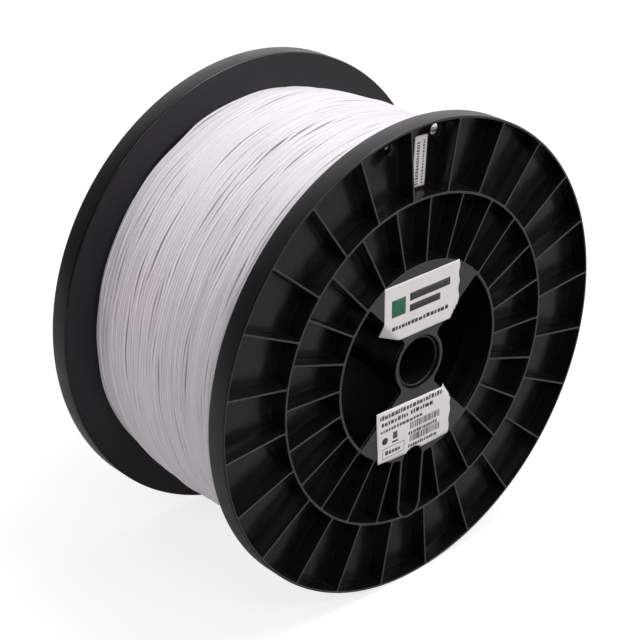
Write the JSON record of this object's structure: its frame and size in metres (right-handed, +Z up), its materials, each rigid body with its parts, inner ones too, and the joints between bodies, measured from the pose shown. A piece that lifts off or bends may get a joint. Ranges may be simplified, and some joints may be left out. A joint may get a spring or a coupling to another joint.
{
  "type": "filament spool",
  "caption": "Wide black plastic reel with ribbed flanges, fully wound with white filament for 3D printing, standing on its rims, with paper labels on one hub face.",
  "frame": {"origin": "on the ground, under the middle of the spool, midway between its flanges", "axes": "+Y along the spool's axis, from the labelled flange to the plain one; +Z up; the labelled flange faces -Y"},
  "size_m": [0.25, 0.1341, 0.25],
  "materials": {
    "black_plastic": "semi-gloss moulded black polystyrene",
    "white_filament": "cool white extruded filament, satin",
    "paper": "printed white label paper"
  },
  "bodies": {
    "root": {"front_flange": "black_plastic", "rear_flange": "black_plastic", "core_barrel": "black_plastic", "centre_tube": "black_plastic", "filament_winding": "white_filament", "logo_label": "paper", "data_label": "paper", "serial_sticker": "paper"}
  },
  "joints": []
}
